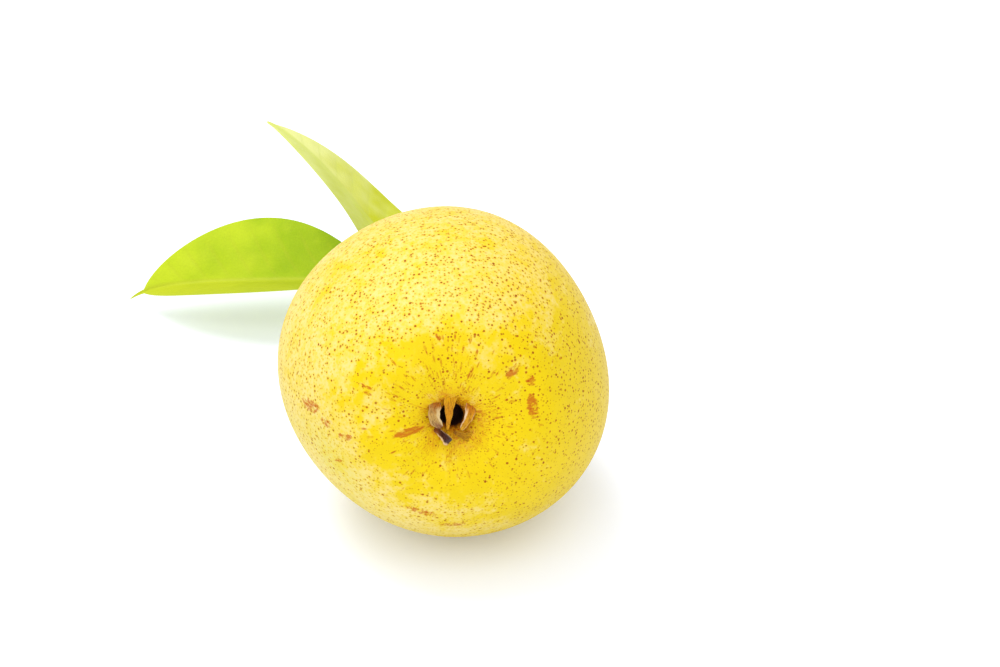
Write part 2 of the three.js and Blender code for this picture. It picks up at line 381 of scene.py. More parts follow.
@dataclass(frozen=True)
class SkinFinish:
    """Waxy yellow skin with brown pores, golden flecks round the calyx and a few russet scars, with painted
    shade at the calyx's rim and inside its tube and painted sheen on the shoulder.
    """

    ripe: Colour = rgb(244, 212, 0)
    deep: Colour = rgb(240, 208, 0)
    # pale yellow of the shoulder: partly pale skin and partly painted sheen
    pale: Colour = rgb(248, 224, 132)
    green: Colour = rgb(226, 218, 84)
    golden: Colour = rgb(224, 150, 8)
    # painted shade: near black for the shadowed inside of the calyx tube
    tube_shade: Colour = rgb(44, 18, 10)
    pore: Colour = rgb(164, 76, 8)
    rust: Colour = rgb(188, 104, 2)
    fleck: Colour = rgb(196, 104, 6)
    russet: Colour = rgb(200, 98, 10)
    # painted shade: dark brown that stands for the shadows in the crevices under the sepals
    crevice_shade: Colour = rgb(110, 48, 14)
    cloud_size: float = 8.0
    curd_size: float = 2.2
    grain_size: float = 0.35
    # the golden-brown band round the calyx's hollow fades out between these distances; it is partly golden
    # skin and partly painted shade of the hollow
    golden_and_hollow_shade_reach: tuple[float, float] = (0.5, 8.5)
    large_pores: PoreLayer = PoreLayer(0.96, 0.20, 0.15, 1.0)
    small_pores: PoreLayer = PoreLayer(0.66, 0.10, 0.10, 0.8)
    speckle: FleckLayer = FleckLayer(0.06, 0.5, 0.28, 0.20, 4.0, 13.0)
    threads: FleckLayer = FleckLayer(0.034, 1.0, 0.24, 0.22, 4.0, 14.0)
    dashes: FleckLayer = FleckLayer(0.045, 2.6, 0.26, 0.28, 8.0, 23.0)

    def material(self) -> bpy.types.Material:
        """Builds the material.

        Returns:
            The skin.
        """
        mix = Recipe("pear_skin")
        place = mix.attribute("pear_mm")
        polar = mix.attribute("pear_polar")
        outward = mix.parts(polar)[2]
        # How deep a yellow the skin is: partly its own colour, partly painted sheen and shade.
        ripeness_and_sheen = mix.attribute("ripeness_and_sheen", "Fac")
        bent = mix.shift(place, mix.stretch(mix.noise(place, 3.0, 2, output="Color"), (0.8, 0.8, 0.8)))
        colour = self._flesh_colour(mix, place, bent, ripeness_and_sheen)

        patchy = mix.streak(polar, (0.5, 0.5, 5.0), 3, 0.6)
        # Golden-brown band round the calyx's hollow: partly golden skin and partly painted shade of the
        # hollow.
        glow = outward.fall(*self.golden_and_hollow_shade_reach) * ((patchy - 0.5) * 3.4 + 0.85).most(0.0)
        colour = mix.mix(glow.least(1.0), colour, self.golden)
        crowd = mix.streak(polar, (0.45, 0.45, 9.0)).step(0.34, 0.66) * 1.05 + 0.15
        colour = mix.mix(self._flecks(mix, polar, outward, crowd), colour, self.fleck)

        pores, ring = self._pores(mix, place)
        colour = mix.mix(ring * 0.6, colour, self.ripe)
        rusty = mix.noise(place, 1.5, 1).step(0.42, 0.58)
        colour = mix.mix(pores, colour, mix.mix(rusty, self.pore, self.rust))
        scars = mix.attribute("scars", "Fac")
        streaks = mix.streak(polar, (0.04, 0.04, 1.6), 3, 0.7)
        scar = (scars * 1.15 + (streaks - 0.5) * 3.0).step(0.45, 1.15) * scars.step(0.0, 0.25) * 0.85
        colour = mix.mix(scar, colour, self.russet)

        # Russet ring round the calyx rim: partly russet skin and partly painted shade round the sepals; the
        # darker band after it is painted shade only.
        ragged = outward + (mix.streak(polar, (0.25, 0.25, 1.5)) - 0.5) * 4.0
        colour = mix.mix(ragged.fall(0.0, 3.6) * 0.6, colour, self.russet)
        # painted shade: dark brown right at the calyx rim, where the sepals' shadows fall
        colour = mix.mix(ragged.fall(-0.6, 1.2) * 0.7, colour, self.crevice_shade)
        # painted shade: the skin inside the calyx tube is drawn near black
        inside = (outward + (mix.noise(place, 1.4, 2) - 0.5) * 2.2).fall(-1.0, 0.0)
        colour = mix.mix(inside, colour, self.tube_shade)

        grain = mix.noise(place, self.grain_size, 2)
        height = grain * 0.25 + mix.noise(place, 2.5, 2) * 0.9 - pores * 0.35 + scar * 0.3
        roughness = 0.40 + grain * 0.12 + pores * 0.2 + scar * 0.2 + inside * 0.3
        return mix.finish(colour, roughness, height, 0.12, Specular_IOR_Level=0.12)

    def _flesh_colour(self, mix: Recipe, place: Wire, bent: Wire, ripeness_and_sheen: Wire) -> Wire:
        """Cloudy yellow of the skin before any mark.

        Args:
            mix: Recipe that it belongs to.
            place: Places in millimetres.
            bent: The same places, bent a little so that the clouds curl.
            ripeness_and_sheen: How deep a yellow the skin is here; its paler places are partly pale skin and
                partly painted sheen.

        Returns:
            The colour.
        """
        clouds = mix.noise(bent, self.cloud_size, 4, 0.65)
        curds = mix.noise(bent, self.curd_size, 2, 0.6)
        ripe = (ripeness_and_sheen + (clouds - 0.5) * 2.2 + (curds - 0.5) * 1.5).step(0.0, 1.0)
        colour = mix.mix(ripe, self.pale, self.ripe)
        deepest = ripe.step(0.6, 1.0) * mix.noise(place, 5.0, 3).step(0.4, 0.6)
        colour = mix.mix(deepest, colour, self.deep)
        greener = mix.attribute("greenness", "Fac") * mix.noise(place, 14.0, 2).step(0.3, 0.7)
        return mix.mix(greener, colour, self.green)

    def _pores(self, mix: Recipe, place: Wire) -> tuple[Wire, Wire]:
        """Two sizes of round pores.

        Args:
            mix: Recipe that they belong to.
            place: Places in millimetres.

        Returns:
            How much of the skin's colour the pores take, and the soft ring round them.
        """
        total: Wire | float = 0.0
        ring: Wire | float = 0.0
        for layer, crowd in ((self.large_pores, "freckles"), (self.small_pores, "speckles")):
            moved = mix.shift(place, (layer.spacing, 2 * layer.spacing, 3 * layer.spacing))
            distance = mix.cells(moved, layer.spacing) * layer.spacing
            chance, size, depth = mix.parts(mix.cells(moved, layer.spacing, "Color"))
            radius = layer.smallest + size * layer.spread
            shown = (mix.attribute(crowd, "Fac") - chance).step(-0.05, 0.15)
            dot = (distance / radius).fall(0.6, 1.1)
            total = (dot * shown * (0.72 + depth * 0.28) * layer.strength).most(total)
            ring = ((distance / radius).fall(1.2, 3.0) * shown).most(ring)
        return total, ring

    def _flecks(self, mix: Recipe, polar: Wire, outward: Wire, crowd: Wire) -> Wire:
        """Thin flecks that point at the calyx, dense beside it and sparse on the rest of the basin.

        Args:
            mix: Recipe that they belong to.
            polar: Direction round the axis and distance from the calyx.
            outward: That distance alone.
            crowd: How dense they are here.

        Returns:
            How much of the skin's colour they take.
        """
        marks: Wire | float = 0.0
        upwards = mix.parts(polar)[1].step(-0.7, 0.9) * 0.75 + 0.2
        for layer, share in ((self.speckle, 0.85), (self.threads, 0.8), (self.dashes, upwards)):
            stretched = mix.stretch(polar, (layer.turn, layer.turn, layer.length))
            distance = mix.cells(stretched, 1.0)
            chance, size, depth = mix.parts(mix.cells(stretched, 1.0, "Color"))
            dash = (distance / (layer.thick + size * layer.spread)).fall(0.5, 1.1)
            shown = (outward.fall(layer.near, layer.far) * crowd * share - chance).step(-0.05, 0.1)
            marks = (dash * shown * (0.5 + depth * 0.5)).most(marks)
        fibres = mix.streak(polar, (0.035, 0.035, 1.4), 4, 0.7)
        stains = mix.streak(polar, (0.16, 0.16, 3.5))
        washed = (fibres - 0.44) * 3.8 + (stains - 0.5) * 3.0
        return marks.most((washed * outward.fall(2.5, 11.0) * crowd).step(0.1, 0.9) * 0.75)


@dataclass(frozen=True)
class LeafFinish:
    """Smooth yellow-green leaf, paler below and along its midrib, with painted light on its near half."""

    name: str
    young: Colour
    deep: Colour
    pale: Colour
    rib: Colour
    # painted light: how much paler the near half is drawn, where light falls on it
    near_half_painted_light: float
    blotch_size: float = 11.0
    net_size: float = 1.1

    def material(self) -> bpy.types.Material:
        """Builds the material.

        Returns:
            The leaf's material.
        """
        mix = Recipe(self.name)
        place = mix.attribute("leaf_mm")
        _, across, face = mix.parts(place)
        depth = mix.attribute("depth", "Fac")
        blotch = mix.noise(place, self.blotch_size, 2, 0.45)
        colour = mix.mix((depth + (blotch - 0.5) * 0.9).step(0.05, 0.75), self.young, self.deep)
        colour = mix.mix(mix.noise(place, 9.0, 2).step(0.45, 0.8) * 0.35, colour, self.pale)
        veinlets = mix.cells(place, self.net_size, feature="DISTANCE_TO_EDGE").fall(0.02, 0.12)
        colour = mix.mix(veinlets * 0.06, colour, self.pale)
        veins = mix.attribute("veins", "Fac")
        colour = mix.mix(veins * 0.2, colour, self.rib)
        # painted light: the near half is drawn paler, as if lit
        near = across.fall(-1.5, 0.0)
        colour = mix.mix(near * self.near_half_painted_light, colour, self.rib)
        colour = mix.mix(abs(across).fall(0.4, 1.6) * 0.6, colour, self.rib)
        colour = mix.mix(face.fall(-0.5, 0.0) * 0.3, colour, self.pale)
        height = mix.noise(place, 1.4, 2) * 0.6 - veinlets * 0.3 - veins * 0.35
        roughness = 0.42 + mix.noise(place, 2.0, 2) * 0.15
        return mix.finish(colour, roughness, height, 0.08, Specular_IOR_Level=0.16)


@dataclass(frozen=True)
class BarkFinish:
    """Brown young bark with lengthwise grain, pale pores and a grey bloom."""

    name: str
    dark: Colour = rgb(84, 54, 30)
    light: Colour = rgb(150, 110, 62)
    pore: Colour = rgb(196, 160, 104)
    bloom: Colour = rgb(142, 132, 112)
    grain_size: float = 0.55
    pore_spacing: float = 1.5

    def material(self) -> bpy.types.Material:
        """Builds the material.

        Returns:
            The bark.
        """
        mix = Recipe(self.name)
        place = mix.attribute("twig_mm")
        grain = mix.noise(mix.stretch(place, (1.0, 1.0, 7.0)), self.grain_size, 3, 0.6)
        patches = mix.noise(place, 4.0, 3, 0.6)
        colour = mix.mix(grain.step(0.3, 0.7), self.dark, self.light)
        colour = mix.mix(patches.step(0.5, 0.7) * 0.5, colour, self.bloom)
        distance = mix.cells(mix.stretch(place, (1.0, 1.0, 1.6)), self.pore_spacing)
        pores = distance.fall(0.12, 0.2)
        colour = mix.mix(pores * 0.8, colour, self.pore)
        scars = mix.attribute("scars", "Fac")
        colour = mix.mix(scars * 0.7, colour, self.dark)
        height = grain * 0.8 + pores * 0.5 + patches * 0.4
        return mix.finish(colour, 0.62 + grain * 0.25, height, 0.25, Specular_IOR_Level=0.3)


@dataclass(frozen=True)
class DryFinish:
    """Dried sepal: yellow tan where it leaves the flesh, brown at the fold, dark or grey at the tip."""

    name: str
    foot: Colour
    middle: Colour
    tip: Colour
    edge: Colour
    light_side: float
    crack: Colour = rgb(92, 44, 20)

    def material(self) -> bpy.types.Material:
        """Builds the material.

        Returns:
            The dried sepal.
        """
        mix = Recipe(self.name)
        place = mix.attribute("sepal_mm")
        share = mix.attribute("share", "Fac")
        rim = mix.attribute("rim", "Fac")
        fibres = mix.streak(place, (2.5, 0.28, 1.0), 3, 0.6)
        mottle = mix.noise(place, 0.9, 3, 0.6)
        withered = share + (mottle - 0.5) * 0.8
        colour = mix.mix(withered.step(0.05, 0.55), self.foot, self.middle)
        colour = mix.mix(withered.step(0.6, 1.05), colour, self.tip)
        colour = mix.mix(fibres.step(0.5, 0.68) * 0.4, colour, self.tip)
        cracks = mix.streak(place, (1.6, 0.22, 1.0))
        colour = mix.mix((abs(cracks - 0.5) * 18).fall(0.2, 1.0) * 0.6, colour, self.crack)
        colour = mix.mix(rim * fibres.step(0.35, 0.6) * 0.5, colour, self.edge)
        side = mix.parts(place)[1] * self.light_side + (mottle - 0.5) * 0.8
        colour = mix.mix(side.step(0.35, 0.75) * share.step(0.15, 0.4) * 0.85, colour, self.edge)
        height = fibres * 0.9 + mottle * 0.4
        return mix.finish(colour, 0.6 + mottle * 0.25, height, 0.2, Specular_IOR_Level=0.12)


@dataclass(frozen=True)
class FloorFinish:
    """Matt white paper that glows a little as painted light, which lifts its own shadows, and is painted
    bluer in the middle, near the pear, to offset the yellow light that the pear throws onto it.
    """

    white: Colour = rgb(235, 235, 236, 1.0)
    shade: Colour = rgb(232, 232, 233, 1.0)
    # painted light: a bluish tint near the pear that cancels the yellow light the pear throws into the
    # floor's shade
    bounce_cancel_tint: Colour = rgb(230, 236, 252, 1.0)
    # painted light: the paper's own glow, which brightens its shadows
    glow: float = 0.16
    tooth: float = 2 * MM
    bounce_cancel_reach: tuple[float, float] = (0.12, 0.45)

    def material(self) -> bpy.types.Material:
        """Builds the material.

        Returns:
            The paper.
        """
        mix = Recipe("white_paper")
        place = mix.node("ShaderNodeTexCoord", {}, {}, "Object")
        tooth = mix.noise(place, self.tooth, 3)
        colour = mix.mix(tooth, self.shade, self.white)
        away = mix.node("ShaderNodeVectorMath", {"operation": "LENGTH"}, {0: place}, "Value")
        # painted light: bluer near the pear, to cancel the yellow light that it reflects onto the paper
        colour = mix.mix(away.fall(*self.bounce_cancel_reach), colour, self.bounce_cancel_tint)
        # painted light: the paper emits light although it is no lamp
        return mix.finish(colour, 0.8 + tooth * 0.1, tooth, 0.02, Specular_IOR_Level=0.1,
                          Emission_Strength=self.glow)


# ---------------------------------------------------------------- meshes


@dataclass(frozen=True)
class PearAxes:
    """Where the pear lies: the middle of its belly, and how much its calyx end is raised."""

    centre: tuple[float, float, float] = (-2.5, 1.1, 35.5)
    tilt: float = math.radians(12.2)

    @property
    def right(self) -> np.ndarray:
        """Direction to the right of the calyx."""
        return np.array([1.0, 0.0, 0.0])

    @property
    def up(self) -> np.ndarray:
        """Direction up across the axis."""
        return np.array([0.0, math.sin(self.tilt), math.cos(self.tilt)])

    @property
    def to_calyx(self) -> np.ndarray:
        """Direction of the axis."""
        return np.array([0.0, -math.cos(self.tilt), math.sin(self.tilt)])

    def point(self, right: Any, up: Any, along: Any) -> np.ndarray:
        """Points given on the pear's own axes.

        Args:
            right: Distance to the right.
            up: Distance up.
            along: Distance along the axis, towards the calyx.

        Returns:
            The points, in millimetres in the frame.
        """
        parts = (np.asarray(value, float)[..., None] for value in (right, up, along))
        directions = (self.right, self.up, self.to_calyx)
        return np.array(self.centre) + sum(part * direction for part, direction in zip(parts, directions))


@dataclass
class Lattice:
    """Closed skin over rings of points, with values that its material reads.

    Attributes:
        rings: Points, ring by ring, in millimetres.
        values: Named values, one number or one vector for each point.
        lengths: Place of each ring from 0 to 1, for the unwrapped strip.
        margin: Share of the strip's height that is left for the cap at each end.
    """

    rings: np.ndarray
    values: dict[str, np.ndarray]
    lengths: np.ndarray
    margin: float = 0.01

    def piece(self, name: str, node: str, slot: Slot, material: bpy.types.Material) -> None:
        """Makes the object, hides the node that it replaces and logs its size against that node's box.

        Args:
            name: Name of the piece.
            node: Node of the frame that it replaces.
            slot: Slot of the record; not used.
            material: Its material.
        """
        piece = bpy.data.objects.new(name, self._mesh(name))
        bpy.context.scene.collection.objects.link(piece)
        piece.data.materials.append(material)
        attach(piece, ROOT)
        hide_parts(node)
        report(piece, node)

    def _mesh(self, name: str) -> bpy.types.Mesh:
        """Builds the mesh, its values and its unwrapped strip.

        Args:
            name: Name of the mesh.

        Returns:
            The mesh.
        """
        count, sides, _ = self.rings.shape
        points = np.concatenate([self.rings.reshape(-1, 3), self.rings[[0, -1]].mean(axis=1)])
        j, i = np.meshgrid(np.arange(count - 1), np.arange(sides), indexing="ij")
        after = (i + 1) % sides
        below, above = j * sides, (j + 1) * sides
        quads = np.stack([below + i, below + after, above + after, above + i], -1)
        first, last = count * sides, count * sides + 1
        loop = np.arange(sides)
        following = (loop + 1) % sides
        top = (count - 1) * sides
        start = np.stack([np.full(sides, first), following, loop], -1)
        end = np.stack([np.full(sides, last), top + loop, top + following], -1)
        faces = [*quads.reshape(-1, 4).tolist(), *start.tolist(), *end.tolist()]
        if self._inside_out(points, quads.reshape(-1, 4)):
            faces = [face[::-1] for face in faces]
        mesh = bpy.data.meshes.new(name)
        mesh.from_pydata((points * MM).tolist(), [], faces)
        mesh.shade_smooth()
        for key, value in self.values.items():
            self._store(mesh, key, value)
        self._unwrap(mesh, count, sides)
        mesh.validate()
        return mesh

    def _inside_out(self, points: np.ndarray, quads: np.ndarray) -> bool:
        """Whether the quads face inwards."""
        a, b, c, d = (points[quads[:, k]] for k in range(4))
        volume = (np.cross(a, b) * c).sum() + (np.cross(a, c) * d).sum()
        return bool(volume < 0)

    def _store(self, mesh: bpy.types.Mesh, key: str, value: np.ndarray) -> None:
        """Keeps a value on the mesh's points.

        Args:
            mesh: Mesh to keep it on.
            key: Name of the value.
            value: Numbers or vectors, ring by ring.
        """
        shaped = value.reshape(value.shape[0] * value.shape[1], -1)
        ends = np.stack([edge.reshape(len(edge), -1).mean(axis=0) for edge in (value[0], value[-1])])
        numbers = np.concatenate([shaped, ends]).astype(np.float32)
        if numbers.shape[1] == 1:
            mesh.attributes.new(key, "FLOAT", "POINT").data.foreach_set("value", numbers.ravel())
        else:
            mesh.attributes.new(key, "FLOAT_VECTOR", "POINT").data.foreach_set("vector", numbers.ravel())

    def _unwrap(self, mesh: bpy.types.Mesh, count: int, sides: int) -> None:
        """Lays the rings out as one strip, cut along the first point of each ring.

        Args:
            mesh: Mesh to unwrap.
            count: Number of rings.
            sides: Number of points on a ring.
        """
        layer = mesh.uv_layers.new(name="OFBake")
        corners = np.empty(len(mesh.loops), np.int64)
        mesh.loops.foreach_get("vertex_index", corners)
        sizes = np.empty(len(mesh.polygons), np.int64)
        mesh.polygons.foreach_get("loop_total", sizes)
        owner = np.repeat(np.arange(len(sizes)), sizes)
        ring, side = corners // sides, (corners % sides).astype(float)
        pole = corners >= count * sides
        lowest = np.full(len(sizes), np.inf)
        highest = np.full(len(sizes), -np.inf)
        np.minimum.at(lowest, owner[~pole], side[~pole])
        np.maximum.at(highest, owner[~pole], side[~pole])
        crosses = highest - lowest > sides / 2
        side = np.where(crosses[owner] & (side == 0), sides, side)
        middle = np.where(crosses, sides - 0.5, (lowest + highest) / 2)[owner]
        side = np.where(pole, middle, side)
        heights = self.margin + (1 - 2 * self.margin) * self.lengths
        ends = np.where(corners == count * sides, 0.0, 1.0)
        v = np.where(pole, ends, heights[np.minimum(ring, count - 1)])
        layer.data.foreach_set("uv", np.stack([side / sides, v], -1).astype(np.float32).ravel())


def report(piece: bpy.types.Object, node: str) -> None:
    """Logs a piece's size and how far it leaves the box of its node.

    Args:
        piece: The piece.
        node: Node that it replaces.
    """
    bpy.context.view_layer.update()
    low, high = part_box(node)
    corners = np.array([piece.matrix_world @ Vector(corner) for corner in piece.bound_box])
    over = max((np.array(low) - corners.min(0)).max(), (corners.max(0) - np.array(high)).max()) / MM
    size = (corners.max(0) - corners.min(0)) / MM
    faces = len(piece.data.polygons)
    log.info("%s: %d faces, %.1f x %.1f x %.1f mm, %.2f mm past %s", piece.name, faces, *size, over, node)


def arc_shares(points: np.ndarray) -> np.ndarray:
    """Share of the length of a line of points that each one is at."""
    steps = np.linalg.norm(np.diff(points, axis=0), axis=1)
    run = np.concatenate([[0.0], np.cumsum(steps)])
    return run / run[-1]


def evenly(line: np.ndarray, steps: int) -> np.ndarray:
    """Points at even distances along a fine line of points."""
    shares = arc_shares(line)
    wanted = np.linspace(0, 1, steps + 1)
    return np.stack([np.interp(wanted, shares, line[:, k]) for k in range(line.shape[1])], -1)


def bezier(corners: np.ndarray, steps: int) -> np.ndarray:
    """Evenly spaced points on a Bezier curve.

    Args:
        corners: Its control points, three or four of them.
        steps: Number of steps.

    Returns:
        The points, one more than the steps.
    """
    t = np.linspace(0, 1, FINE_STEPS)[:, None]
    line = np.array(corners, float)[:, None, :] * np.ones_like(t)
    while len(line) > 1:
        line = line[:-1] * (1 - t) + line[1:] * t
    return evenly(line[0], steps)


def through(points: np.ndarray, steps: int) -> np.ndarray:
    """Evenly spaced points on a smooth line through given ones.

    Args:
        points: Points that it goes through.
        steps: Number of steps.

    Returns:
        The points, one more than the steps.
    """
    points = np.array(points, float)
    ends = np.vstack([2 * points[0] - points[1], points, 2 * points[-1] - points[-2]])
    t = np.linspace(0, 1, SPAN_STEPS)[:, None]
    spans = []
    for p0, p1, p2, p3 in zip(ends, ends[1:], ends[2:], ends[3:]):
        bend = 2 * p0 - 5 * p1 + 4 * p2 - p3
        twist = 3 * p1 - p0 - 3 * p2 + p3
        spans.append(0.5 * (2 * p1 + (p2 - p0) * t + bend * t**2 + twist * t**3))
    line = np.vstack(spans)
    moved = np.linalg.norm(np.diff(line, axis=0), axis=1) > 1e-9
    return evenly(line[np.concatenate([[True], moved])], steps)


def tangents(line: np.ndarray) -> np.ndarray:
    """Directions of a line of points."""
    return unit(np.gradient(line, axis=0))


def around(line: np.ndarray, side: np.ndarray, sideways: np.ndarray, lift: np.ndarray,
           upwards: np.ndarray) -> np.ndarray:
    """Rings of points round a line.

    Args:
        line: Points of the line.
        side: How far each point of a ring lies to the side.
        sideways: Direction to the side at each point of the line.
        lift: How far each point of a ring lies above the line.
        upwards: Direction upwards at each point of the line.

    Returns:
        The points, ring by ring.
    """
    return line[:, None, :] + side[..., None] * sideways[:, None, :] + lift[..., None] * upwards[:, None, :]


def round_angles(sides: int) -> np.ndarray:
    """Even angles round a ring, in one row."""
    return np.linspace(0, 2 * math.pi, sides, endpoint=False)[None, :]


# ---------------------------------------------------------------- the flesh


@dataclass(frozen=True)
class Scar:
    """Russet mark on the calyx end.

    Attributes:
        clock: Its angle round the axis, in degrees from the right towards the top.
        reach: Its distance from the axis.
        length: Half its length, towards the axis.
        width: Half its width.
        strength: How dark it is.
    """

    clock: float
    reach: float
    length: float
    width: float
    strength: float


@dataclass
class Flesh:
    """The pear itself, from the floor of its calyx tube to the stem cavity, in one skin.

    Attributes:
        axes: Axes that it lies along.
        meridian: Control points of its profile, as distance along the axis and radius.
        belly: Radius of its widest part.
        rings_per_span: Number of rings between two control points.
        sides: Number of points on a ring.
        swellings: Lobes, share of the radius and clock angle of each swelling of its cross section.
        swelling_power: How fast the swellings grow from the axis to the belly.
        rib: Number, height, radius, spread and clock angle of the soft ribs round the basin.
        shoulder: Height, radius, spread and clock angle of the firmer shoulder.
        tube_shift: How far the calyx tube lies above the axis, and the radii where that starts and ends.
        pucker: Height of the folds round the calyx, their distance from its rim and their spread.
        basin_blur: Half the width over which the basin's colour blends into the shoulder's.
        calyx_spans: Number of spans on the calyx half.
        rim_spans: Number of spans inside the calyx's rim.
        scars: Russet marks.
    """

    axes: PearAxes
    meridian: tuple[tuple[float, float], ...] = (
        (35.0, 0), (35.0, 1.7), (36.3, 2.3), (39.2, 2.4), (41.0, 4.2), (42.7, 8.2),
        (44.0, 14.6), (41.0, 21.8), (33.8, 28.9), (20.8, 35.6), (5.5, 38.15), (-10.5, 35.6),
        (-26.2, 28.9), (-39.8, 19.5), (-47.4, 12.6), (-50.8, 7.0), (-50.6, 3.6),
        (-47.6, 2.9), (-44.6, 2.6), (-44.2, 0),
    )
    belly: float = 37.5
    rings_per_span: int = 13
    sides: int = 360
    swellings: tuple[tuple[int, float, float], ...] = ((2, 0.032, -40), (3, 0.0145, 67), (4, 0.0085, -18))
    rib: tuple[int, float, float, float, float] = (5, 0.45, 15, 6, 58)
    shoulder: tuple[float, float, float, float] = (1.1, 22.5, 4.5, 52)
    swelling_power: float = 1.2
    tube_shift: tuple[float, float, float] = (0.4, 3, 8)
    pucker: tuple[float, float, float] = (0.22, 2.2, 2.4)
    basin_blur: float = 9.0
    calyx_spans: int = 10
    rim_spans: int = 3
    scars: tuple[Scar, ...] = (
        Scar(191, 9.6, 3.6, 0.9, 1.0), Scar(10, 17.5, 1.3, 2.8, 0.95), Scar(40, 17.0, 2.2, 1.2, 0.75),
        Scar(27, 19.0, 1.2, 1.4, 0.7), Scar(178, 30.5, 2.2, 1.6, 0.8), Scar(183, 27.0, 1.6, 1.2, 0.75),
        Scar(189, 23.2, 1.8, 0.9, 0.8), Scar(-108, 22.5, 1.0, 3.6, 0.75), Scar(-90, 25.5, 0.9, 3.0, 0.7),
        Scar(203, 26.8, 1.4, 0.5, 0.8), Scar(-96, 8.5, 4.0, 0.9, 0.45), Scar(50, 14.0, 1.6, 0.9, 0.5),
        Scar(70, 12.0, 2.2, 0.5, 0.6), Scar(156, 19.5, 1.6, 0.4, 0.8), Scar(98, 19.0, 0.8, 0.8, 0.8),
    )

    def build(self) -> None:
        """Makes the flesh and dresses it."""
        profile, calyx_half = self._profile()
        angle = round_angles(self.sides)
        along, radius = profile[:, :1], profile[:, 1:]
        grown = np.minimum(radius / self.belly, 1) ** self.swelling_power
        reach = radius * (1 + grown * self._swelling(angle))
        steps = np.linalg.norm(np.diff(profile, axis=0), axis=1)
        run = np.concatenate([[0.0], np.cumsum(steps)])
        outward = (run - run[self.rim_spans * self.rings_per_span])[:, None] + 0 * angle
        height = along + np.where(calyx_half[:, None], self._relief(radius, angle), 0)
        height = height + self._puckers(outward, angle, calyx_half[:, None])
        rise, start, end = self.tube_shift
        shift = np.where(calyx_half[:, None], rise * smooth(radius, end, start), 0)
        rings = self.axes.point(reach * np.cos(angle), reach * np.sin(angle) + shift, height)
        rings[..., 2] = np.maximum(rings[..., 2], 0)
        values = self._values(reach, angle, height, outward, calyx_half[:, None])
        lattice = Lattice(rings, values, run / run[-1])
        lattice.piece("pear_flesh", "pear_body", Slot.SKIN, SkinFinish().material())

    def _swelling(self, angle: np.ndarray) -> np.ndarray:
        """How much further out the belly lies at each angle, as a share of its radius."""
        return sum(share * np.cos(lobes * (angle - math.radians(crest)))
                   for lobes, share, crest in self.swellings)

    def _profile(self) -> tuple[np.ndarray, np.ndarray]:
        """The meridian as points.

        Returns:
            Distances along the axis with radii, and whether each point is on the calyx half.
        """
        control = np.array(self.meridian, float)
        control = np.vstack([control[1] * [1, -1], control, control[-2] * [1, -1]])
        spans = len(control) - 3
        place = np.arange(1, spans * self.rings_per_span) / self.rings_per_span
        span = np.minimum(place.astype(int), spans - 1)
        t = (place - span)[:, None]
        weights = ((1 - t) ** 3, 3 * t**3 - 6 * t**2 + 4, -3 * t**3 + 3 * t**2 + 3 * t + 1, t**3)
        points = sum(weight * control[span + k] for k, weight in enumerate(weights)) / 6
        return points, place < self.calyx_spans

    def _relief(self, radius: np.ndarray, angle: np.ndarray) -> np.ndarray:
        """Soft ribs round the basin, and its firmer shoulder.

        Args:
            radius: Distances from the axis.
            angle: Angles round it.

        Returns:
            Heights.
        """
        count, height, middle, spread, crest = self.rib
        ribs = height * bell(radius, middle, spread) * np.cos(count * (angle - math.radians(crest)))
        height, middle, spread, crest = self.shoulder
        return ribs + height * bell(radius, middle, spread) * facing(angle, crest) ** 2

    def _puckers(self, outward: np.ndarray, angle: np.ndarray, calyx_half: np.ndarray) -> np.ndarray:
        """Fine folds where the skin gathers at the calyx.

        Args:
            outward: Distances from the calyx's rim over the skin.
            angle: Angles round the axis.
            calyx_half: Whether each ring is on the calyx half.

        Returns:
            Heights.
        """
        folds = np.cos(11 * angle + 1.2) * 0.6 + np.cos(17 * angle + 0.4 + 0.8 * np.cos(2 * angle)) * 0.4
        height, middle, spread = self.pucker
        return np.where(calyx_half, height * folds * bell(outward, middle, spread), 0)

    def _values(self, reach: np.ndarray, angle: np.ndarray, along: np.ndarray, outward: np.ndarray,
                calyx_half: np.ndarray) -> dict[str, np.ndarray]:
        """What the skin's material reads.

        Args:
            reach: Distances from the axis.
            angle: Angles round it.
            along: Distances along it.
            outward: Distances from the calyx's rim over the skin.
            calyx_half: Whether each ring is on the calyx half.

        Returns:
            The named values.
        """
        right, up = reach * np.cos(angle), reach * np.sin(angle)
        full = np.ones_like(reach)
        basin = self._basin(reach, angle) * calyx_half
        # The basin and the right side are drawn a deeper yellow, and the upper-right shoulder and the lower
        # left paler: partly the skin's own colour and partly painted light, sheen on the pale places and
        # shade on the deep ones.
        ripeness_and_sheen = 0.37 + 0.80 * facing(angle, -12) * smooth(reach, 16, 30) + 0.55 * basin
        paler = 0.22 * facing(angle, self.shoulder[3]) ** 2 + 0.12 * facing(angle, 215)
        ripeness_and_sheen = ripeness_and_sheen - paler * (1 - basin)
        speckled = facing(angle, -50) * smooth(reach, 5, 14) * smooth(reach, 40, 24)
        rightward = np.cos(angle - math.radians(10)) * smooth(reach, 8, 22)
        freckles = 0.92 + 0.24 * rightward - 0.34 * facing(angle, -90) * smooth(reach, 4, 12) - 0.36 * basin
        green_side = bell(angle, math.radians(205), 0.5) * smooth(reach, 20, 30)
        greenness = 0.6 * smooth(along, -25, -48) + 0.5 * green_side
        return {
            "pear_mm": np.stack([right, up, along * full], -1),
            "pear_polar": np.stack([np.cos(angle) * full, np.sin(angle) * full, outward], -1),
            "ripeness_and_sheen": ripeness_and_sheen * full,
            "freckles": freckles * full,
            "speckles": (0.72 + 0.45 * speckled) * full,
            "greenness": greenness * full,
            "scars": self._russet(right, up) * (along > 0),
        }

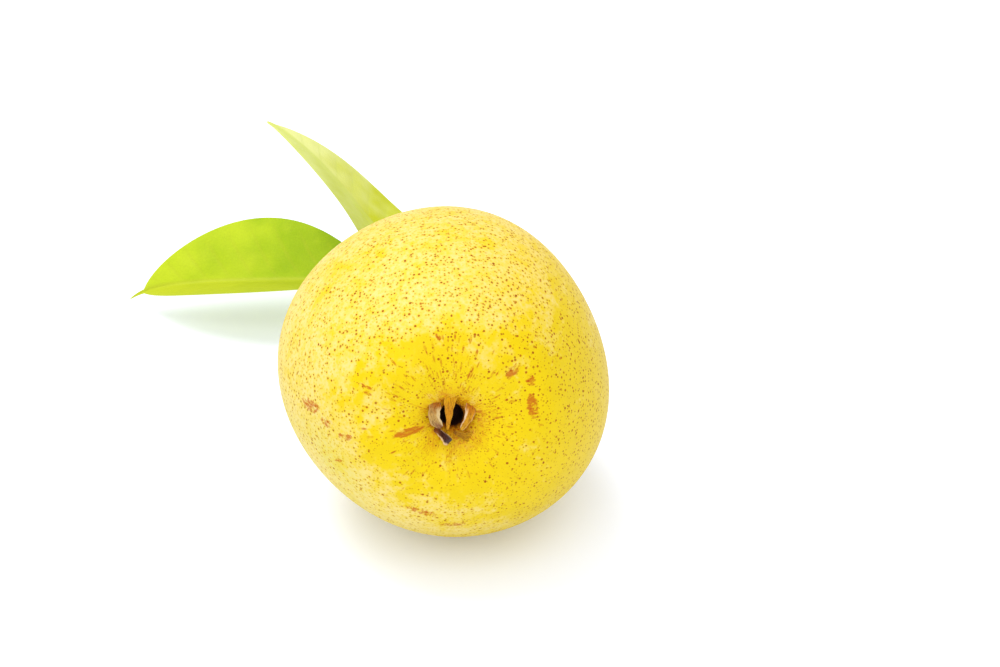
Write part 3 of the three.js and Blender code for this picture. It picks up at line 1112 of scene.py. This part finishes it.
    def _basin(self, reach: np.ndarray, angle: np.ndarray) -> np.ndarray:
        """How far inside the calyx basin each place lies, from 0 to 1.

        Args:
            reach: Distances from the axis.
            angle: Angles round it.

        Returns:
            The shares.
        """
        edge = self.shoulder[1] + 2.5 * np.cos(angle - math.radians(10))
        edge = edge - 1.5 * np.cos(2 * (angle - math.radians(75)))
        soft = self.basin_blur - 7.0 * facing(angle, self.shoulder[3])
        return smooth(reach - edge, soft, -soft)

    def _russet(self, right: np.ndarray, up: np.ndarray) -> np.ndarray:
        """How russet each place is.

        Args:
            right: Distances to the right of the axis.
            up: Distances above it.

        Returns:
            Strengths from 0 to 1.
        """
        strongest = np.zeros_like(right)
        for scar in self.scars:
            clock = math.radians(scar.clock)
            out = right * math.cos(clock) + up * math.sin(clock) - scar.reach
            side = -right * math.sin(clock) + up * math.cos(clock)
            inside = 1 - np.sqrt((out / scar.length) ** 2 + (side / scar.width) ** 2)
            strongest = np.maximum(strongest, scar.strength * smooth(inside, -0.35, 0.35))
        return strongest


# ---------------------------------------------------------------- stem and spur


@dataclass
class Twig:
    """Round woody shoot of changing thickness.

    Attributes:
        name: Name of the piece.
        node: Node of the frame that it replaces.
        path: Points of its middle line, in millimetres in the frame.
        radii: Radii, evenly spaced along it.
        scars: Ring scars, as shares of its length.
        knobbly: How uneven it is, as a share of the radius.
        end_round: How far from each end it starts to round off.
        scar_width: Half the width of a ring scar.
        scar_height: How far a ring scar stands out.
        steps: Number of rings.
        sides: Number of points on a ring.
    """

    name: str
    node: str
    path: np.ndarray
    radii: Sequence[float]
    scars: Sequence[float]
    knobbly: float
    end_round: float = 0.7
    scar_width: float = 0.45
    scar_height: float = 0.18
    steps: int = 200
    sides: int = 72

    def build(self) -> None:
        """Makes the twig and dresses it."""
        line = through(self.path, self.steps)
        share = np.linspace(0, 1, self.steps + 1)
        places = np.linspace(0, 1, len(self.radii))
        smoothed = through(np.stack([places, np.array(self.radii)], -1), self.steps)
        radius = np.interp(share, smoothed[:, 0], smoothed[:, 1])
        length = np.linalg.norm(np.diff(line, axis=0), axis=1).sum()
        short = 1 - np.minimum(share, 1 - share) * length / self.end_round
        ends = np.sqrt(np.clip(1 - short.clip(0) ** 2, 0.002, 1))[:, None]
        rings = sum(bell(share * length, scar * length, self.scar_width) for scar in self.scars)[:, None]
        forward = tangents(line)
        normal, binormal = self._frames(forward)
        angle = round_angles(self.sides)
        run = share[:, None] * length
        lumps = np.sin(3 * angle + 0.35 * run) * 0.5 + np.sin(2 * angle - 0.5 * run + 1) * 0.5
        ridges = np.sin(9 * angle + 0.25 * run) * 0.35
        uneven = radius[:, None] * (1 + self.knobbly * (lumps + ridges))
        reach = (uneven + self.scar_height * rings) * ends
        side, lift = reach * np.cos(angle), reach * np.sin(angle)
        points = around(line, side, normal, lift, binormal)
        full = np.ones_like(reach)
        values = {
            "twig_mm": np.stack([side, lift, run * full], -1),
            "scars": rings * full,
        }
        material = BarkFinish(self.name + "_bark").material()
        Lattice(points, values, share).piece(self.name, self.node, Slot.BARK, material)

    def _frames(self, forward: np.ndarray) -> tuple[np.ndarray, np.ndarray]:
        """Two directions square to the line that don't twist along it.

        Args:
            forward: Directions of the line.

        Returns:
            The two directions at each point.
        """
        side = unit(np.cross(forward[0], [0.0, 0.0, 1.0]) + 1e-6)
        normals = []
        for direction in forward:
            side = unit(side - direction * (side @ direction))
            normals.append(side)
        normal = np.array(normals)
        return normal, np.cross(forward, normal)


# ---------------------------------------------------------------- leaves


@dataclass
class Leaf:
    """A leaf on its petiole: a lens-thin blade folded up along its midrib and drawn out to a point.

    Attributes:
        name: Name of the piece.
        node: Node of the frame that it replaces.
        path: Bezier points of the midrib, in millimetres in the frame.
        across: Direction from the near edge to the far edge.
        half_width: Half the width of the blade.
        fold: How far the halves fold up, in degrees.
        petiole: Length of the petiole.
        point: Share of the blade that is drawn out to a point.
        tail: Half width of that point, as a share of the blade's.
        fullness: How round the oval is.
        skew: How far the widest place lies from the middle.
        finish: What it is dressed in.
        thickness: Thickness of the blade.
        petiole_radius: Radius of the petiole.
        root: How much deeper the petiole starts than its path.
        midrib: Half width of the midrib's ridge.
        midrib_taper: Share of its height that the midrib loses from foot to point.
        vein_spacing: Distance between two side veins.
        vein_slant: How far the veins slant towards the point.
        vein_curve: How much more they do so towards the edge.
        quilt: Height of the waves between the veins.
        wave: Height of the waves of the edge.
        steps: Number of rings.
        sides: Number of points on a ring.
    """

    name: str
    node: str
    path: tuple[tuple[float, float, float], ...]
    across: tuple[float, float, float]
    half_width: float
    fold: float
    petiole: float
    point: float
    tail: float
    fullness: float
    skew: float
    finish: LeafFinish
    thickness: float = 0.55
    petiole_radius: float = 0.95
    root: float = 1.0
    midrib: float = 1.3
    midrib_taper: float = 0.75
    vein_spacing: float = 6.5
    vein_slant: float = 0.75
    vein_curve: float = 0.012
    quilt: float = 0.07
    wave: float = 0.3
    steps: int = 200
    sides: int = 96

    def build(self) -> None:
        """Makes the leaf and dresses it."""
        corners = np.array(self.path, float)
        corners[0] -= self.root * unit(corners[1] - corners[0])
        line = bezier(corners, self.steps)
        length = np.linalg.norm(np.diff(line, axis=0), axis=1).sum()
        share = np.linspace(0, 1, self.steps + 1)[:, None]
        width = self._half_width(share, length)
        forward = tangents(line)
        across = np.array(self.across)
        sideways = unit(across - forward * (forward @ across)[:, None])
        upwards = np.cross(sideways, forward)
        angle = round_angles(self.sides)
        reach = -np.cos(angle) * np.ones_like(share)
        side = reach * width
        off, rim, along = np.abs(side), np.abs(reach), share * length
        midrib = self.petiole_radius * (1 - self.midrib_taper * share) * np.exp(-((side / self.midrib) ** 2))
        half = np.minimum(np.maximum(self.thickness / 2, midrib), width)
        blade = smooth(along, self.petiole, self.petiole + 12)
        slanted = along - off * self.vein_slant + self.vein_curve * side**2
        phase = slanted / self.vein_spacing + 0.5 * (side > 0)
        quilt = self.quilt * np.cos(2 * math.pi * phase) * smooth(off, 0.5, 5) * smooth(rim, 1.0, 0.7)
        wave = self.wave * np.sin(along / 9.5 + 1.3 * (side > 0)) * rim**3
        fold = math.radians(self.fold)
        lift = rim * math.sin(fold) * width + np.sin(angle) * half + (quilt + wave) * blade
        points = around(line, side * math.cos(fold), sideways, lift, upwards)
        from_vein = np.abs((phase % 1.0) - 0.5) * self.vein_spacing
        veins = smooth(from_vein, 0.75, 0.15) * smooth(off, 0.5, 2) * smooth(rim, 0.98, 0.6)
        full = np.ones_like(side)
        values = {
            "leaf_mm": np.stack([along * full, side, np.sin(angle) * full], -1),
            "depth": (1 - share) * full,
            "veins": veins * blade,
        }
        Lattice(points, values, share[:, 0]).piece(self.name, self.node, Slot.LEAF, self.finish.material())

    def _half_width(self, share: np.ndarray, length: float) -> np.ndarray:
        """Half the width along the leaf.

        Args:
            share: Shares of its length.
            length: Its length.

        Returns:
            Half widths.
        """
        place = (share * length - self.petiole) / (length - self.petiole)
        inside = np.clip(place, 0, 1)
        skewed = np.minimum(inside / (1 - self.point), 1) ** self.skew
        oval = np.maximum(np.sin(math.pi * skewed), 0) ** self.fullness
        point = self.tail * np.minimum((1 - inside) / (3 * self.point), 1) ** 0.7 * (inside > 0.5)
        least = np.where(inside > 0.9, 0.12, self.petiole_radius)
        blade = np.maximum(self.half_width * np.maximum(oval, point), least)
        return np.where(place <= 0, self.petiole_radius, blade)


# ---------------------------------------------------------------- the dried calyx


@dataclass(frozen=True)
class Sepal:
    """One dried sepal, from its foot on the basin's wall over a bend to its tip.

    Attributes:
        path: Foot, bend and tip as right, up and along from the pear's centre.
        widths: Half widths at the foot, in the middle and at the tip.
        turn: How far it is turned about its own line, in degrees.
        twist: How much further it turns from foot to tip, in degrees.
        finish: What it is dressed in.
    """

    path: tuple[tuple[float, float, float], ...]
    widths: tuple[float, float, float]
    turn: float
    twist: float
    finish: DryFinish


@dataclass
class Calyx:
    """The five dried sepals that close over the calyx tube.

    Attributes:
        axes: Axes of the pear.
        sepals: The sepals.
        thickness: Thickness of a sepal halfway along.
        root: How much deeper a sepal starts than its path, as a share of the way to its bend.
        fold: How far the halves of a sepal fold up, in degrees.
        ragged: How uneven a sepal's width is, in large waves and in small ones, as a share of it.
        wrinkle: Height of the wrinkles along a sepal.
        curl: How far its edges curl up and down.
        steps: Number of rings of a sepal.
        sides: Number of points on a ring.
    """

    axes: PearAxes
    sepals: tuple[Sepal, ...]
    thickness: float = 0.5
    root: float = 0.3
    fold: float = 18
    ragged: tuple[float, float] = (0.10, 0.06)
    wrinkle: float = 0.10
    curl: float = 0.16
    steps: int = 60
    sides: int = 48

    def build(self) -> None:
        """Makes the sepals and dresses them."""
        for number, sepal in enumerate(self.sepals, 1):
            self._sepal(number, sepal)

    def _sepal(self, number: int, sepal: Sepal) -> None:
        """Makes one sepal.

        Args:
            number: Its number, from 1.
            sepal: Its shape and finish.
        """
        corners = np.array([self.axes.point(*corner) for corner in sepal.path])
        corners[0] += self.root * (corners[0] - corners[1])
        line = bezier(corners, self.steps)
        foot, _, tip = sepal.path
        lean = math.atan2(foot[1] - tip[1], foot[0] - tip[0]) + math.pi / 2 + math.radians(sepal.turn)
        share = np.linspace(0, 1, self.steps + 1)[:, None]
        turned = lean + math.radians(sepal.twist) * share
        across = self.axes.right * np.cos(turned) + self.axes.up * np.sin(turned)
        forward = tangents(line)
        sideways = unit(across - forward * (forward * across).sum(axis=1, keepdims=True))
        upwards = np.cross(sideways, forward)
        width = self._half_width(sepal, share)
        angle = round_angles(self.sides)
        reach = -np.cos(angle) * np.ones_like(share)
        far, rim = reach > 0, np.abs(reach)
        large, small = self.ragged
        ragged = large * np.sin(share * 9 + 2 * number + 2 * far) + small * np.sin(share * 23 + number + far)
        side = reach * width * (1 + ragged * rim)
        wrinkle = self.wrinkle * np.cos(side * 5 + 2 * np.sin(share * 8 + number)) * (1 - rim**4)
        curl = self.curl * np.sin(share * 6 + 1.7 * number + reach) * rim**2
        half = self.thickness / 2 * (1.5 - 0.9 * share)
        fold = math.radians(self.fold)
        lift = np.abs(side) * math.sin(fold) + np.sin(angle) * half + wrinkle + curl
        points = around(line, side * math.cos(fold), sideways, lift, upwards)
        full = np.ones_like(side)
        values = {
            "sepal_mm": np.stack([share * 5.0 * full + number * 9, side, lift], -1),
            "share": share * full,
            "rim": smooth(np.abs(reach), 0.75, 1.0),
        }
        lattice = Lattice(points, values, share[:, 0])
        lattice.piece(f"dried_sepal_{number}", f"sepal_{number}", Slot.DRY_CALYX, sepal.finish.material())

    def _half_width(self, sepal: Sepal, share: np.ndarray) -> np.ndarray:
        """Half the width along a sepal, which narrows to a point at its end.

        Args:
            sepal: The sepal.
            share: Shares of its length.

        Returns:
            Half widths.
        """
        foot, middle, tip = sepal.widths
        bow = (4 * middle - foot - tip) * share * (1 - share)
        width = foot * (1 - share) ** 2 + tip * share**2 + bow
        return width * np.sqrt(1 - smooth(share, 0.86, 1.06) ** 2)


# ---------------------------------------------------------------- floor, light and camera


@dataclass(frozen=True)
class Lamp:
    """Soft square lamp that points at the pear.

    Attributes:
        name: Its name.
        place: Where it hangs, in metres.
        size: Length of its side, in metres.
        power: Its power, in watts.
        colour: Its colour.
    """

    name: str
    place: tuple[float, float, float]
    size: float
    power: float
    colour: tuple[float, float, float]


@dataclass
class Studio:
    """White paper floor, soft daylight and a camera that looks down at the calyx end.

    Attributes:
        axes: Axes of the pear.
        lamps: The lamps.
        sky: Strength of the even light from all round.
        floor_size: Length of the paper's side, in metres.
        azimuth: How far the camera is turned round the pear, in degrees.
        elevation: How steeply it looks down, in degrees.
        distance: How far it stands from the pear's centre.
        aim_right: How far right of that centre it aims.
        aim_up: How far above it.
        lens: Focal length.
        clip: Nearest and furthest distance that it sees, in metres.
    """

    axes: PearAxes
    lamps: tuple[Lamp, ...] = (
        Lamp("key", (-0.35, 0.25, 1.1), 0.7, 7.5, (1.0, 0.99, 0.97)),
        Lamp("fill", (-0.15, -0.9, 0.9), 1.0, 6.2, (1.0, 1.0, 1.0)),
    )
    sky: float = 0.92
    floor_size: float = 6.0
    azimuth: float = -2.0
    elevation: float = 29.0
    distance: float = 560.0
    aim_right: float = 12.84
    aim_up: float = 7.0
    lens: float = 87.29
    clip: tuple[float, float] = (0.01, 20.0)

    def build(self) -> None:
        """Sets up the floor, the lights and the camera."""
        self._floor()
        self._sky()
        for lamp in self.lamps:
            self._hang(lamp)
        self._camera()

    def _floor(self) -> None:
        """Lays the paper."""
        half = self.floor_size / 2
        mesh = bpy.data.meshes.new("paper")
        corners = [(-half, -half, 0), (half, -half, 0), (half, half, 0), (-half, half, 0)]
        mesh.from_pydata(corners, [], [(0, 1, 2, 3)])
        mesh.materials.append(FloorFinish().material())
        paper = bpy.data.objects.new("paper", mesh)
        bpy.context.scene.collection.objects.link(paper)

    def _sky(self) -> None:
        """Even white light from all round."""
        world = bpy.data.worlds.new("white_room")
        world.use_nodes = True
        background = world.node_tree.nodes["Background"]
        background.inputs["Color"].default_value = (1.0, 1.0, 1.0, 1.0)
        background.inputs["Strength"].default_value = self.sky
        bpy.context.scene.world = world
        bpy.context.scene.view_settings.view_transform = "Standard"

    def _hang(self, lamp: Lamp) -> None:
        """Hangs a lamp in its place.

        Args:
            lamp: The lamp.
        """
        light = bpy.data.lights.new(lamp.name, "AREA")
        light.size = lamp.size
        light.energy = lamp.power
        light.color = lamp.colour
        hung = bpy.data.objects.new(lamp.name, light)
        hung.location = lamp.place
        target = Vector(self.axes.centre) * MM
        hung.rotation_euler = (target - Vector(lamp.place)).to_track_quat("-Z", "Y").to_euler()
        bpy.context.scene.collection.objects.link(hung)

    def _camera(self) -> None:
        """Places the camera."""
        turn, rise = math.radians(self.azimuth), math.radians(self.elevation)
        back = Vector((math.sin(turn) * math.cos(rise), -math.cos(turn) * math.cos(rise), math.sin(rise)))
        right = back.cross(Vector((0, 0, -1))).normalized()
        up = right.cross(-back)
        centre = Vector(self.axes.centre)
        place = centre + back * self.distance
        target = centre + right * self.aim_right + up * self.aim_up
        data = bpy.data.cameras.new("camera")
        data.lens = self.lens
        data.clip_start, data.clip_end = self.clip
        camera = bpy.data.objects.new("camera", data)
        camera.location = place * MM
        camera.rotation_euler = (target - place).to_track_quat("-Z", "Y").to_euler()
        bpy.context.scene.collection.objects.link(camera)
        bpy.context.scene.camera = camera


# ---------------------------------------------------------------- the whole


def twigs(axes: PearAxes) -> tuple[Twig, ...]:
    """The stem, which swells towards its end, and the stub of the spur that it grew on.

    Args:
        axes: Axes of the pear.

    Returns:
        The two twigs.
    """
    along_stem = ((0, -45.2), (0.5, -60), (-1.0, -75), (0.6, -87.9))
    foot, top = np.array([-1.0, 93.6, 6.5]), np.array([-2.6, 88.6, 24.0])
    stem = Twig(
        name="fruit_stem", node="stem",
        path=np.array([axes.point(right, 0, along) for right, along in along_stem]),
        radii=(1.7, 1.75, 1.5, 1.45, 1.5, 1.75, 2.3), scars=(0.93,), knobbly=0.04,
    )
    spur = Twig(
        name="spur_wood", node="spur_stub",
        path=np.array([foot, (foot + top) / 2 + [0.2, 0.2, 0], top]),
        radii=(1.9, 3.0, 2.7, 3.2, 2.9, 3.3, 2.8, 2.3, 1.2),
        scars=(0.2, 0.34, 0.47, 0.6, 0.74), knobbly=0.08,
    )
    return stem, spur


def leaves() -> tuple[Leaf, ...]:
    """The broad leaf that lies low beside the pear, and the narrow one that rises behind it."""
    low = Leaf(
        name="low_leaf", node="leaf_low",
        path=((-5.7, 90.9, 14.6), (-25.9, 90.7, 8.3), (-72.9, 99.6, 13.1), (-84.6, 102.3, 2.4)),
        across=(-0.49, 0.43, 0.07), half_width=17.9, fold=35, petiole=13,
        point=0.068, tail=0.093, fullness=0.85, skew=0.87,
        finish=LeafFinish("low_leaf_green", rgb(206, 226, 34), rgb(160, 194, 0), rgb(208, 222, 50),
                          rgb(194, 200, 44), 0.7),
    )
    high = Leaf(
        name="high_leaf", node="leaf_high",
        path=((-5.3, 89.8, 20.2), (-19.6, 96.5, 17.1), (-22.2, 106.7, 35.9), (-45.5, 114.6, 48.6)),
        across=(0.08, 0.91, -0.05), half_width=17.9, fold=9, petiole=3,
        point=0.02, tail=0.07, fullness=0.9, skew=0.57,
        finish=LeafFinish("high_leaf_green", rgb(238, 242, 156), rgb(202, 208, 0), rgb(226, 230, 96),
                          rgb(208, 220, 90), 0.5),
    )
    return low, high


def sepals() -> tuple[Sepal, ...]:
    """The five dried sepals: top, right, left, lower left and lower right."""
    return (
        Sepal(
            path=((-0.3, 4.6, 41.0), (-0.7, 2.0, 43.4), (-1.0, -1.8, 42.1)),
            widths=(1.9, 0.85, 0.35), turn=0, twist=10,
            finish=DryFinish("dried_sepal_1", foot=rgb(236, 176, 14), middle=rgb(216, 144, 26),
                             tip=rgb(236, 170, 30), edge=rgb(236, 184, 70), light_side=0),
        ),
        Sepal(
            path=((4.1, 2.5, 41.4), (3.6, 0.9, 43.6), (1.9, -1.9, 42.2)),
            widths=(1.4, 0.95, 0.45), turn=10, twist=-25,
            finish=DryFinish("dried_sepal_2", foot=rgb(206, 124, 20), middle=rgb(222, 156, 24),
                             tip=rgb(228, 170, 44), edge=rgb(246, 214, 176), light_side=1),
        ),
        Sepal(
            path=((-3.6, 3.3, 41.5), (-4.7, 1.4, 44.0), (-2.4, -1.2, 42.5)),
            widths=(1.1, 1.35, 0.6), turn=-10, twist=15,
            finish=DryFinish("dried_sepal_3", foot=rgb(186, 110, 28), middle=rgb(204, 164, 92),
                             tip=rgb(130, 74, 60), edge=rgb(226, 196, 140), light_side=-1),
        ),
        Sepal(
            path=((-3.2, -2.1, 41.2), (-1.9, -2.3, 43.3), (-0.9, -4.6, 42.9)),
            widths=(0.7, 0.95, 1.25), turn=20, twist=40,
            finish=DryFinish("dried_sepal_4", foot=rgb(150, 84, 34), middle=rgb(56, 20, 10),
                             tip=rgb(92, 78, 78), edge=rgb(246, 206, 152), light_side=1),
        ),
        Sepal(
            path=((3.4, -3.7, 41.4), (2.0, -3.2, 42.8), (0.4, -2.4, 41.9)),
            widths=(1.2, 0.8, 0.4), turn=-10, twist=10,
            finish=DryFinish("dried_sepal_5", foot=rgb(214, 158, 12), middle=rgb(180, 124, 14),
                             tip=rgb(150, 96, 16), edge=rgb(206, 150, 30), light_side=0),
        ),
    )


def main() -> None:
    """Builds the pear piece by piece, then the studio round it."""
    logging.basicConfig(level=logging.INFO, format="%(name)s: %(message)s", force=True)
    axes = PearAxes()
    for part in (Flesh(axes), *twigs(axes), *leaves(), Calyx(axes, sepals())):
        part.build()
    Studio(axes).build()


if __name__ == "__main__":
    main()
